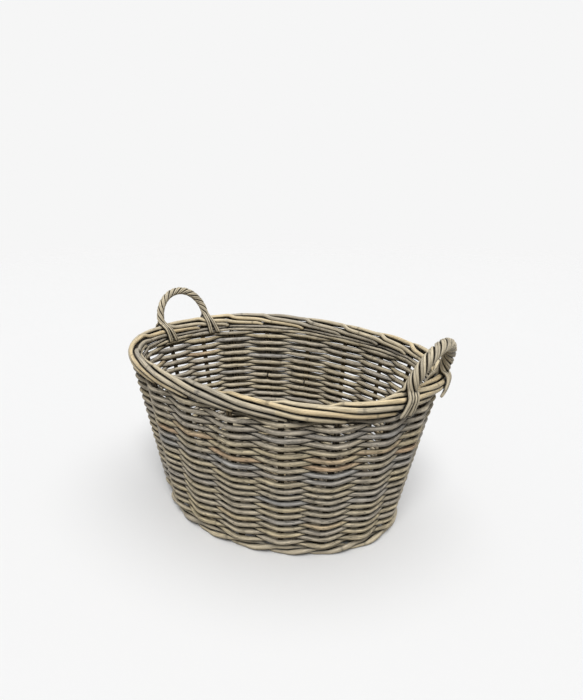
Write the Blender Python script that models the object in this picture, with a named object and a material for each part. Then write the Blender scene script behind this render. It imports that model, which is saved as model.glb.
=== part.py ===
# Oval laundry basket of whole rattan rods, in metres with +Z up.
# The long side runs along X. It stands on z = 0, with its middle over the origin.

import bisect
import math

import bpy

# Overall sizes, measured outside.
rim_length = 0.606
rim_width = 0.466
basket_height = 0.2945
foot_length = 0.496
foot_width = 0.405
# How far out each oval passes at its corners, of its half length and half width: an ellipse has 0.7071.
rim_corner_share = 0.7427
foot_corner_share = 0.6983

# The gap that touching rods keep.
touch_gap = 0.0003

# Stakes: two rods side by side, up one wall, across the base and up the other wall.
stake_radius = 0.0024
# Places of the stake pairs round the oval, from the +X end towards +Y, as the photograph shows them.
stake_shares = (
    0.016, 0.085, 0.1535, 0.2025, 0.2633, 0.3222, 0.381, 0.4295, 0.4713,
    0.5222, 0.5735, 0.635, 0.6965, 0.7555, 0.8135, 0.8658, 0.9156, 0.9662,
)
# Each stake pair joins two of those places: three run the long way, six run across.
long_stake_ends = ((17, 10), (0, 9), (1, 8))
cross_stake_ends = ((2, 16), (3, 15), (4, 14), (5, 13), (6, 12), (7, 11))
stake_bend = 0.005

# Wall: two rods twined round each other between the stakes.
weaver_radius = 0.0033
weaver_count = 10
weaver_end_gap = 0.001
row_clearance = 0.0012
# The rows climb to the next one over these bays, behind the left handle.
climb_bays = 3
climb_end_stake = 11
quarter_bay_share = 0.25

# Border: rolled from rods that start inside, go over the top and end outside, low down.
border_rod_radius = 0.0043
border_path_half_width = 0.0086
border_path_half_height = 0.0147
# How far round the border's section a rod has come at each stake it passes, from the underside up the inside.
border_turn_shares = (0.11, 0.24, 0.37, 0.50, 0.63, 0.76, 0.89)
border_points_per_bay = 3
# Two rods lie inside the border, one over the other, on the tops of the stakes. The others roll round them.
border_core_gap = 0.0005
border_core_end_gap = 0.003

# Foot: two thicker rods twisted together, flat where they stand.
foot_rod_radius = 0.0043
foot_rod_sides = 6
foot_flat_share = 0.12
foot_turn = math.radians(30)
foot_twist_slack = 0.0005

# Base: stakes fan out from a small grid, and two rods wind outward over and under them.
cross_stake_spacing = 0.026
long_stake_spacing = 0.013
grid_half_length = 0.085
grid_half_width = 0.024
base_rod_radius = 0.0034
base_rise_slack = 0.0030
base_round_pitch = 0.0100
base_start = 0.021
base_edge_clearance = 0.010

# Handles: four strands laid as a left-hand rope, each with both ends wrapped over the border.
handle_turns = 3
handle_points_per_turn = 8
handle_start_lift = 0.0045
handle_wrap_gap = 0.0010
handle_tail_spread = 0.008
handle_tail_slant = 0.011
# The right handle is a little taller and thicker than the left one, and leans further out.
right_handle_share = 0.0187
right_leg_half_spacing = 0.0517
right_handle_rise = 0.0612
right_strand_radius = 0.0035
right_rope_radius = 0.0066
right_handle_lean = math.radians(21)
left_handle_share = 0.4968
left_leg_half_spacing = 0.0509
left_handle_rise = 0.0573
left_strand_radius = 0.0026
left_rope_radius = 0.0048
left_handle_lean = math.radians(17)

stake_total = len(stake_shares)

# Heights, from the floor up.
foot_half_flat = foot_rod_radius * math.cos(math.pi / foot_rod_sides)
foot_twist_radius = foot_rod_radius / math.cos(foot_turn) + foot_twist_slack
foot_height = 2 * (foot_twist_radius + foot_half_flat)
foot_centre_z = foot_height / 2
base_z = foot_height + touch_gap + stake_radius
border_half_height = border_path_half_height + border_rod_radius
border_half_width = border_path_half_width + border_rod_radius
border_centre_z = basket_height - border_half_height
border_core_radius = border_path_half_width - border_rod_radius - border_core_gap

# The border's section is an upright round-ended slot, and the path of a rod follows it from the underside.
border_cap_height = border_path_half_height - border_path_half_width
border_path_length = 4 * border_cap_height + 2 * math.pi * border_path_half_width
border_span_bays = len(border_turn_shares) - 1
# The stakes come in between the first and the last rods, which lie lowest.
border_start_turn = border_turn_shares[0] * border_path_length / border_path_half_width
border_depth = border_cap_height + border_path_half_width * math.cos(border_start_turn) + border_rod_radius
border_bottom_z = border_centre_z - border_depth

# Rows fill the wall between the foot and the border.
stake_run_top_z = base_z + stake_radius + touch_gap
wall_bottom_z = stake_run_top_z + row_clearance - weaver_radius
wall_top_z = border_bottom_z - touch_gap
row_total = int((wall_top_z - wall_bottom_z) / (4 * weaver_radius + 2 * touch_gap))
row_pitch = (wall_top_z - wall_bottom_z) / row_total
first_row_z = wall_bottom_z + row_pitch / 2
crossing_rise = row_pitch / 4

# The middle surface of the wall, through the foot and the border.
foot_spread = foot_twist_radius * math.cos(foot_turn)
foot_half_length = foot_length / 2 - foot_spread - foot_rod_radius
foot_half_width = foot_width / 2 - foot_spread - foot_rod_radius
rim_half_length = rim_length / 2 - border_half_width
rim_half_width = rim_width / 2 - border_half_width
foot_power = -1 / math.log2(foot_corner_share)
rim_power = -1 / math.log2(rim_corner_share)

gauge_z = basket_height / 2
gauge_steps = 1440


def oval_reach(angle, half_length, half_width, power):
    along = abs(math.cos(angle) / half_length) ** power
    across = abs(math.sin(angle) / half_width) ** power
    return (along + across) ** (-1 / power)


# The wall runs straight up from the foot's oval to the border's.
def oval_point(angle, z):
    lift = (z - foot_centre_z) / (border_centre_z - foot_centre_z)
    low = oval_reach(angle, foot_half_length, foot_half_width, foot_power)
    high = oval_reach(angle, rim_half_length, rim_half_width, rim_power)
    reach = low + (high - low) * lift
    return reach * math.cos(angle), reach * math.sin(angle)


# Arc lengths round the oval at mid height turn a share of the way round into an angle.
gauge_angles = [2 * math.pi * step / gauge_steps for step in range(gauge_steps + 1)]
gauge_lengths = [0.0]
for before, after in zip(gauge_angles, gauge_angles[1:]):
    stretch = math.dist(oval_point(before, gauge_z), oval_point(after, gauge_z))
    gauge_lengths.append(gauge_lengths[-1] + stretch)
gauge_perimeter = gauge_lengths[-1]


def angle_at(share):
    whole = math.floor(share)
    length = (share - whole) * gauge_perimeter
    step = min(bisect.bisect_right(gauge_lengths, length), gauge_steps) - 1
    part = (length - gauge_lengths[step]) / (gauge_lengths[step + 1] - gauge_lengths[step])
    return gauge_angles[step] + part * (gauge_angles[step + 1] - gauge_angles[step]) + 2 * math.pi * whole


def outward_at(share, z):
    before = oval_point(angle_at(share) - math.pi / gauge_steps, z)
    after = oval_point(angle_at(share) + math.pi / gauge_steps, z)
    run = math.dist(before, after)
    return (after[1] - before[1]) / run, (before[0] - after[0]) / run


handles = {
    "right": {
        "share": right_handle_share, "leg_half_spacing": right_leg_half_spacing, "rise": right_handle_rise,
        "strand_radius": right_strand_radius, "rope_radius": right_rope_radius, "lean": right_handle_lean,
    },
    "left": {
        "share": left_handle_share, "leg_half_spacing": left_leg_half_spacing, "rise": left_handle_rise,
        "strand_radius": left_strand_radius, "rope_radius": left_rope_radius, "lean": left_handle_lean,
    },
}


# How far a handle leans out along X from the middle of the oval.
def handle_reach(handle):
    leg_share = handle["leg_half_spacing"] / gauge_perimeter
    legs = [oval_point(angle_at(handle["share"] + side * leg_share), basket_height)[0] for side in (-1, 1)]
    lean_reach = handle["rise"] * math.sin(handle["lean"])
    return abs(sum(legs)) / 2 + lean_reach + handle["rope_radius"] + handle["strand_radius"]


# The right handle reaches further, so the basket sits a little to the left.
middle_shift = (handle_reach(handles["left"]) - handle_reach(handles["right"])) / 2


def wall_place(share, z, out):
    x, y = oval_point(angle_at(share), z)
    outward = outward_at(share, z)
    return x + outward[0] * out + middle_shift, y + outward[1] * out, z


# Places along the wall are also counted in stakes, with halves and quarters between them.
def share_at(stake):
    turn, index = divmod(math.floor(stake), stake_total)
    here = stake_shares[index]
    following = stake_shares[index + 1] if index + 1 < stake_total else stake_shares[0] + 1
    return turn + here + (stake - math.floor(stake)) * (following - here)


# How far the chord over a stake lies inside the curve.
def chord_sag(stake, reach, z):
    before = wall_place(share_at(stake - reach), z, 0)
    after = wall_place(share_at(stake + reach), z, 0)
    here = wall_place(share_at(stake), z, 0)
    outward = outward_at(share_at(stake), z)
    return sum((here[axis] - (before[axis] + after[axis]) / 2) * outward[axis] for axis in range(2))


def start_scene():
    for item in list(bpy.data.objects):
        bpy.data.objects.remove(item)
    collection = bpy.data.collections.new("laundry_basket")
    bpy.context.scene.collection.children.link(collection)
    return collection


def make_material(name, colour, roughness):
    material = bpy.data.materials.new(name)
    material.use_nodes = True
    shader = material.node_tree.nodes["Principled BSDF"]
    shader.inputs["Base Color"].default_value = (*colour, 1)
    shader.inputs["Roughness"].default_value = roughness
    return material


basket = start_scene()
weathered_weaver_rattan = make_material("weathered_weaver_rattan", (0.29, 0.25, 0.20), 0.75)
dark_stake_rattan = make_material("dark_stake_rattan", (0.22, 0.18, 0.13), 0.75)
pale_border_rattan = make_material("pale_border_rattan", (0.50, 0.42, 0.30), 0.7)
pale_handle_rattan = make_material("pale_handle_rattan", (0.52, 0.45, 0.33), 0.7)


def make_rod(name, points, radius, material, sides=4, tilt=0.0, twist="Z_UP"):
    curve = bpy.data.curves.new(name, "CURVE")
    curve.dimensions = "3D"
    curve.twist_mode = twist
    curve.bevel_depth = radius
    curve.bevel_resolution = (sides - 4) // 2
    curve.use_fill_caps = True
    spline = curve.splines.new("POLY")
    spline.points.add(len(points) - 1)
    for knot, point in zip(spline.points, points):
        knot.co = (*point, 1)
        knot.tilt = tilt
    curve.materials.append(material)
    rod = bpy.data.objects.new(name, curve)
    basket.objects.link(rod)
    return rod


# Foot: at every stake one rod is down on the floor and the other lies on top of it.
def foot_points(first_down):
    points = []
    for stake in range(stake_total):
        sign = -1 if (stake + first_down) % 2 == 0 else 1
        sag = chord_sag(stake, foot_flat_share, foot_centre_z) / 2
        for step in (-foot_flat_share, foot_flat_share):
            points.append(wall_place(share_at(stake + step), foot_centre_z + sign * foot_twist_radius, sag))
        rise = sign * foot_twist_radius * math.sin(foot_turn)
        for step, z in ((1, foot_centre_z + rise), (2, foot_centre_z - rise)):
            points.append(wall_place(share_at(stake + step / 3), z, -sign * foot_spread))
    return points


def end_pulled_back(point, neighbour, gap):
    part = gap / math.dist(point, neighbour)
    return tuple(a + (b - a) * part for a, b in zip(point, neighbour))


for name, first_down in (("foot_rod_a", 0), ("foot_rod_b", 1)):
    ring = foot_points(first_down)
    ring.append(end_pulled_back(ring[0], ring[-1], weaver_end_gap))
    make_rod(name, ring, foot_rod_radius, pale_border_rattan, foot_rod_sides)


# Stakes: a plan line from wall to wall, with the pair's two rods set off to either side of it.
def sideways(before, after):
    run = math.dist(before, after)
    return (before[1] - after[1]) / run, (after[0] - before[0]) / run


def mitre(first, second, distance):
    scale = distance / (1 + first[0] * second[0] + first[1] * second[1])
    return (first[0] + second[0]) * scale, (first[1] + second[1]) * scale


stake_top_z = border_centre_z - 2 * (border_core_radius + touch_gap)
layer_rise = stake_radius + touch_gap / 2
pair_offset = stake_radius + touch_gap / 2


def grid_place(stake):
    for place, ends in enumerate(cross_stake_ends):
        if stake in ends:
            x = ((len(cross_stake_ends) - 1) / 2 - place) * cross_stake_spacing
            return (x + middle_shift, grid_half_width if stake == ends[0] else -grid_half_width), -layer_rise
    for place, ends in enumerate(long_stake_ends):
        if stake in ends:
            x = grid_half_length if stake == ends[0] else -grid_half_length
            y = (place - (len(long_stake_ends) - 1) / 2) * long_stake_spacing
            return (x + middle_shift, y), layer_rise


def stake_half(stake, offset):
    share = stake_shares[stake]
    top = wall_place(share, stake_top_z, 0)
    turn = wall_place(share, base_z + stake_bend, 0)
    kink = wall_place(share, base_z + stake_bend / 4, -stake_bend / 4)
    inner = wall_place(share, base_z, -stake_bend)
    grid, drop = grid_place(stake)
    fan_side = sideways(inner[:2], grid)
    points = []
    for point in (top, turn, kink, inner):
        outward = outward_at(share, point[2])
        side = (outward[1], -outward[0])
        shift = mitre(side, fan_side if point == inner else side, offset)
        points.append((point[0] + shift[0], point[1] + shift[1], point[2]))
    return points, grid, drop, fan_side


def make_stake(name, ends, offset):
    first, first_grid, drop, first_side = stake_half(ends[0], offset)
    second, second_grid, drop, second_side = stake_half(ends[1], -offset)
    middle_side = sideways(first_grid, second_grid)
    there = mitre(first_side, middle_side, offset)
    back_side = (-second_side[0], -second_side[1])
    here = mitre(middle_side, back_side, offset)
    points = first + [(first_grid[0] + there[0], first_grid[1] + there[1], base_z + drop),
                      (second_grid[0] + here[0], second_grid[1] + here[1], base_z + drop)] + second[::-1]
    make_rod(name, points, stake_radius, dark_stake_rattan, twist="MINIMUM")


for kind, pairs in (("long", long_stake_ends), ("cross", cross_stake_ends)):
    for number, ends in enumerate(pairs, 1):
        make_stake(f"{kind}_stake_{number}_a", ends, pair_offset)
        make_stake(f"{kind}_stake_{number}_b", ends, -pair_offset)


# Base: round after round, each rod lies over one stake pair and under the next.
base_rise = stake_radius + base_rod_radius + base_rise_slack


def base_place(stake, along, over):
    grid, drop = grid_place(stake % stake_total)
    edge = wall_place(stake_shares[stake % stake_total], base_z, -stake_bend)
    length = math.dist(grid, edge[:2])
    part = (base_start + (length - base_start - base_edge_clearance) * along) / length
    z = base_z + drop * (1 - part) + (base_rise if over else -base_rise)
    return grid[0] + (edge[0] - grid[0]) * part, grid[1] + (edge[1] - grid[1]) * part, z


base_half_fan = foot_half_width - grid_half_width - base_start - base_edge_clearance
base_round_total = int(base_half_fan / base_round_pitch)


def base_points(lag):
    steps = range((base_round_total // 2) * stake_total + 1)
    last = stake_total * base_round_total
    return [base_place(step, (2 * step + lag * stake_total) / (last + stake_total), (step + lag) % 2 == 0)
            for step in steps]


make_rod("base_weaver_a", base_points(0), base_rod_radius, weathered_weaver_rattan)
make_rod("base_weaver_b", base_points(1), base_rod_radius, weathered_weaver_rattan)


# Wall: the two rods change places between stakes, and each end rests inside against a stake.
weave_offset = stake_radius + weaver_radius + touch_gap
weave_bays = row_total * stake_total - climb_bays


def row_z(bay):
    turn = math.floor(bay / stake_total)
    climbed = max(0, bay - turn * stake_total - (stake_total - climb_bays)) / climb_bays
    return first_row_z + row_pitch * (turn + climbed)


def weaver_place(bay, stake, outside, rise):
    z = row_z(bay) + rise
    sag = chord_sag(climb_end_stake + stake, quarter_bay_share, z)
    if rise == 0:
        sag = 0
    out = weave_offset + sag if outside else sag - weave_offset
    return wall_place(share_at(climb_end_stake + bay), z, out)


def weaver_points(start, end, first_inside):
    half_gap = weaver_end_gap / 2 * stake_total / gauge_perimeter
    points = [weaver_place(start + half_gap, start, False, 0)]
    for stake in range(start, end + 1):
        outside = (stake - first_inside) % 2 == 1
        rise = crossing_rise if outside else -crossing_rise
        if stake > start:
            points.append(weaver_place(stake - quarter_bay_share, stake, outside, rise))
        if stake < end:
            points.append(weaver_place(stake + quarter_bay_share, stake, outside, -rise))
    points.append(weaver_place(end - half_gap, end, False, 0))
    return points


band_total = weaver_count // 2
for band in range(band_total):
    for lag, letter in ((0, "a"), (1, "b")):
        first, last = (2 * round((weave_bays - 1) / 2 * edge / band_total) + lag for edge in (band, band + 1))
        make_rod(f"wall_weaver_{band + 1}_{letter}", weaver_points(first, last, lag), weaver_radius,
                 weathered_weaver_rattan)


# Border: out from the middle of the wall and up from the middle of the section, part of the way round it.
def border_section(part):
    quarter = border_path_length / 4
    length = part * border_path_length
    out = -border_path_half_width if length < 2 * quarter else border_path_half_width
    length = min(length, border_path_length - length)
    cap = math.pi * border_path_half_width / 2
    if cap <= length <= 2 * quarter - cap:
        return out, length - quarter
    end = -1 if length < cap else 1
    turn = min(length, 2 * quarter - length) / border_path_half_width
    return out * math.sin(turn), end * (border_cap_height + border_path_half_width * math.cos(turn))


def border_points(stake):
    points = []
    for step in range(border_span_bays * border_points_per_bay + 1):
        bay, between = divmod(step, border_points_per_bay)
        here = border_turn_shares[bay]
        following = border_turn_shares[min(bay + 1, border_span_bays)]
        out, rise = border_section(here + (following - here) * between / border_points_per_bay)
        share = share_at(stake + step / border_points_per_bay)
        points.append(wall_place(share, border_centre_z + rise, out))
    return points


for stake in range(stake_total):
    make_rod(f"border_rod_{stake + 1:02d}", border_points(stake), border_rod_radius, pale_border_rattan)


def core_points(rise):
    steps = stake_total * border_points_per_bay
    shares = [share_at(step / border_points_per_bay) for step in range(steps)]
    ring = [wall_place(share, border_centre_z + rise, 0) for share in shares]
    return ring + [end_pulled_back(ring[0], ring[-1], border_core_end_gap)]


for letter, rise in (("a", border_core_radius + touch_gap), ("b", -border_core_radius - touch_gap)):
    make_rod(f"border_core_{letter}", core_points(rise), border_core_radius, dark_stake_rattan)


# Handles: a rope of four strands over a leaning bow, with its ends split over the border.
wrap_turns = (math.radians(45), math.radians(10))


def blend(first, second, part):
    return tuple(a + (b - a) * part for a, b in zip(first, second))


def handle_tail(handle, leg, out_sign, side_sign, start_side):
    wrap_radius = border_half_width + handle["strand_radius"] + handle_wrap_gap
    drops = []
    for turn in wrap_turns:
        drops.append((wrap_radius * math.cos(turn), border_cap_height + wrap_radius * math.sin(turn)))
    drops.append((wrap_radius, -border_path_half_height))
    top = border_half_height + handle_start_lift
    tail = []
    for out, rise in drops:
        part = (top - rise) / (top + border_path_half_height)
        spread = start_side + (handle_tail_spread - start_side) * part
        share = handle["share"] + (leg + side_sign * spread - handle_tail_slant * part) / gauge_perimeter
        tail.append(wall_place(share, border_centre_z + rise, out_sign * out))
    return tail


def handle_points(handle, strand):
    foot_z = basket_height + handle_start_lift
    leg = handle["leg_half_spacing"]
    first = wall_place(handle["share"] - leg / gauge_perimeter, foot_z, 0)
    last = wall_place(handle["share"] + leg / gauge_perimeter, foot_z, 0)
    centre = blend(first, last, 1 / 2)
    half_span = math.dist(first, last) / 2
    across = tuple((b - a) / (2 * half_span) for a, b in zip(first, last))
    outward = outward_at(handle["share"], foot_z)
    lean = handle["lean"]
    up = (outward[0] * math.sin(lean), outward[1] * math.sin(lean), math.cos(lean))
    facing = (across[1] * up[2] - across[2] * up[1], across[2] * up[0] - across[0] * up[2],
              across[0] * up[1] - across[1] * up[0])
    steps = handle_turns * handle_points_per_turn
    bow = []
    for step in range(steps + 1):
        turn = math.pi * step / steps
        along, rise = -half_span * math.cos(turn), handle["rise"] * math.sin(turn)
        slope = (handle["rise"] * math.cos(turn), half_span * math.sin(turn))
        run = math.hypot(*slope)
        normal = tuple(-across[axis] * slope[0] / run + up[axis] * slope[1] / run for axis in range(3))
        lay = math.pi / 4 + math.pi / 2 * strand + 2 * math.pi * handle_turns * step / steps
        bow.append(tuple(centre[axis] + across[axis] * along + up[axis] * rise
                         + handle["rope_radius"] * (math.cos(lay) * facing[axis] + math.sin(lay) * normal[axis])
                         for axis in range(3)))
    lay = math.pi / 4 + math.pi / 2 * strand
    out_sign = 1 if math.cos(lay) > 0 else -1
    outer_sign = 1 if math.sin(lay) > 0 else -1
    start_side = handle["rope_radius"] * math.sin(math.pi / 4)
    head = handle_tail(handle, -leg, out_sign, -outer_sign, start_side)
    tail = handle_tail(handle, leg, out_sign, outer_sign, start_side)
    return head[::-1] + bow + tail


for side, handle in handles.items():
    for strand in range(4):
        make_rod(f"{side}_handle_strand_{strand + 1}", handle_points(handle, strand), handle["strand_radius"],
                 pale_handle_rattan, twist="MINIMUM")
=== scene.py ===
import bisect
import math
import random

import bpy
import numpy as np
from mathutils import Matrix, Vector, kdtree, noise


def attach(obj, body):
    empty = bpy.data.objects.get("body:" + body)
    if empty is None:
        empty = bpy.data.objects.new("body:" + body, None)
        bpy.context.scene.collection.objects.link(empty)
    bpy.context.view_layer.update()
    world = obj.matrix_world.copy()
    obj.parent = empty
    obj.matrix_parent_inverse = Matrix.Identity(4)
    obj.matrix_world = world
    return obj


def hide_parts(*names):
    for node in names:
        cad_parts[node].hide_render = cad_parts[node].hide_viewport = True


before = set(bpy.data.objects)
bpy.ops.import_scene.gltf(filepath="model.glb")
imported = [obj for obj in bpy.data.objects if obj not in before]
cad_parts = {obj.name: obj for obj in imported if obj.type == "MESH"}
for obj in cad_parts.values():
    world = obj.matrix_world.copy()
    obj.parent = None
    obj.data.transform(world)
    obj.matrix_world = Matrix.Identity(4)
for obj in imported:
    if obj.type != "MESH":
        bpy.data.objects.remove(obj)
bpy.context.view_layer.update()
print("packed model loaded:", len(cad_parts), "nodes")

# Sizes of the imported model, from which every piece is laid out. Turn and lean are in degrees.
basket = {
    "rimLength": 0.606, "rimWidth": 0.466, "height": 0.2945,
    "footLength": 0.496, "footWidth": 0.405,
    "rimCorner": 0.7427, "footCorner": 0.6983,  # how far out the ovals pass at their corners
    "stakeRadius": 0.0024, "gap": 0.0003,
    # Where the pairs of stakes stand, as shares of the way round from the +X end.
    "stakes": (0.016, 0.085, 0.1535, 0.2025, 0.2633, 0.3222, 0.381, 0.4295, 0.4713,
               0.5222, 0.5735, 0.635, 0.6965, 0.7555, 0.8135, 0.8658, 0.9156, 0.9662),
}
border = {"radius": 0.0043, "halfWidth": 0.0086, "halfHeight": 0.0147, "coreGap": 0.0005, "startTurn": 0.11}
foot = {"radius": 0.0043, "flat": 0.12, "turn": 30, "slack": 0.0005}
rightHandle = {"share": 0.0187, "leg": 0.0517, "rise": 0.0612, "strand": 0.0035, "rope": 0.0066, "lean": 21,
               "rod": 0.0025, "ring": 0.0080, "hoop": 0.0050}
leftHandle = {"share": 0.4968, "leg": 0.0509, "rise": 0.0573, "strand": 0.0026, "rope": 0.0048, "lean": 17,
              "rod": 0.0019, "ring": 0.0058, "hoop": 0.0036}
weave = {"radius": 0.0033, "count": 10, "clearance": 0.0012, "climbBays": 3, "climbEnd": 11}

stakeTotal = len(basket["stakes"])
gap = basket["gap"]
stakeRadius = basket["stakeRadius"]

# Heights from the floor up.
footTwist = foot["radius"] / math.cos(math.radians(foot["turn"])) + foot["slack"]
footCentreZ = footTwist + foot["radius"] * math.cos(math.pi / 6)
baseZ = 2 * footCentreZ + gap + stakeRadius
borderHalfHeight = border["halfHeight"] + border["radius"]
borderHalfWidth = border["halfWidth"] + border["radius"]
borderCentreZ = basket["height"] - borderHalfHeight
capHeight = border["halfHeight"] - border["halfWidth"]
sectionLength = 4 * capHeight + 2 * math.pi * border["halfWidth"]
startTurn = border["startTurn"] * sectionLength / border["halfWidth"]
borderDepth = capHeight + border["halfWidth"] * math.cos(startTurn) + border["radius"]
coreRadius = border["halfWidth"] - border["radius"] - border["coreGap"]
wallBottomZ = baseZ + stakeRadius + gap + weave["clearance"] - weave["radius"]
wallTopZ = borderCentreZ - borderDepth - gap
rowTotal = 18  # as counted in the photo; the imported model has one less
rowPitch = (wallTopZ - wallBottomZ) / rowTotal
firstRowZ = wallBottomZ + rowPitch / 2

footSpread = footTwist * math.cos(math.radians(foot["turn"]))
footOut = footSpread + foot["radius"]
footHalf = (basket["footLength"] / 2 - footOut, basket["footWidth"] / 2 - footOut)
rimHalf = (basket["rimLength"] / 2 - borderHalfWidth, basket["rimWidth"] / 2 - borderHalfWidth)
footPower = -1 / math.log2(basket["footCorner"])
rimPower = -1 / math.log2(basket["rimCorner"])


def ovalReach(angle, half, power):
    along = abs(math.cos(angle) / half[0]) ** power
    across = abs(math.sin(angle) / half[1]) ** power
    return (along + across) ** (-1 / power)


def ovalPoint(angle, z):
    lift = (z - footCentreZ) / (borderCentreZ - footCentreZ)
    low = ovalReach(angle, footHalf, footPower)
    high = ovalReach(angle, rimHalf, rimPower)
    reach = low + (high - low) * lift
    return reach * math.cos(angle), reach * math.sin(angle)


# Shares of the way round are measured on the oval at half height.
gaugeSteps = 1440
gaugeAngles = [2 * math.pi * step / gaugeSteps for step in range(gaugeSteps + 1)]
gaugeLengths = [0.0]
for before, after in zip(gaugeAngles, gaugeAngles[1:]):
    gaugeLengths.append(gaugeLengths[-1] + math.dist(ovalPoint(before, basket["height"] / 2),
                                                     ovalPoint(after, basket["height"] / 2)))
gaugePerimeter = gaugeLengths[-1]


def angleAt(share):
    whole = math.floor(share)
    length = (share - whole) * gaugePerimeter
    step = min(bisect.bisect_right(gaugeLengths, length), gaugeSteps) - 1
    part = (length - gaugeLengths[step]) / (gaugeLengths[step + 1] - gaugeLengths[step])
    return gaugeAngles[step] + part * (gaugeAngles[step + 1] - gaugeAngles[step]) + 2 * math.pi * whole


def outwardAt(share, z):
    angle = angleAt(share)
    before = ovalPoint(angle - math.pi / gaugeSteps, z)
    after = ovalPoint(angle + math.pi / gaugeSteps, z)
    run = math.dist(before, after)
    return (after[1] - before[1]) / run, (before[0] - after[0]) / run


# How far a handle reaches out along X from the middle of the oval.
def handleReach(bow):
    legShare = bow["leg"] / gaugePerimeter
    legs = [ovalPoint(angleAt(bow["share"] + side * legShare), basket["height"])[0] for side in (-1, 1)]
    return abs(sum(legs)) / 2 + bow["rise"] * math.sin(math.radians(bow["lean"])) + bow["rope"] + bow["strand"]


# The origin is halfway between the outsides of the handles.
middleShift = (handleReach(leftHandle) - handleReach(rightHandle)) / 2


def wallPlace(share, z, out):
    x, y = ovalPoint(angleAt(share), z)
    outward = outwardAt(share, z)
    return x + outward[0] * out + middleShift, y + outward[1] * out, z


# Places round the wall are counted in stakes, with parts between them.
def shareAt(stake):
    turn, index = divmod(math.floor(stake), stakeTotal)
    here = basket["stakes"][index]
    following = basket["stakes"][index + 1] if index + 1 < stakeTotal else basket["stakes"][0] + 1
    return turn + here + (stake - math.floor(stake)) * (following - here)


def hexColour(text):
    channels = [int(text[place:place + 2], 16) / 255 for place in (0, 2, 4)]
    return tuple(c / 12.92 if c <= 0.04045 else ((c + 0.055) / 1.055) ** 2.4 for c in channels) + (1,)


def addNode(tree, kind, values=None, links=None, **settings):
    node = tree.nodes.new(kind)
    for name, value in settings.items():
        setattr(node, name, value)
    for socket, value in (values or {}).items():
        node.inputs[socket].default_value = value
    for socket, source in (links or {}).items():
        tree.links.new(source, node.inputs[socket])
    return node


def setRamp(node, stops):
    ramp = node.color_ramp
    while len(ramp.elements) > 1:
        ramp.elements.remove(ramp.elements[-1])
    for index, (place, colour) in enumerate(stops):
        stop = ramp.elements[0] if index == 0 else ramp.elements.new(place)
        stop.position = place
        stop.color = hexColour(colour)


# Painted shade: the colour is darkened, nearly to black, where rods lie close together, standing in for the shade
# in the creases between them. The reaches are how far out from the skin the free room is measured, and the painted
# shade grows from the first closeness to the last.
creases = {"reaches": (0.0015, 0.004, 0.008), "closeness": (0.10, 0.64)}
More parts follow.
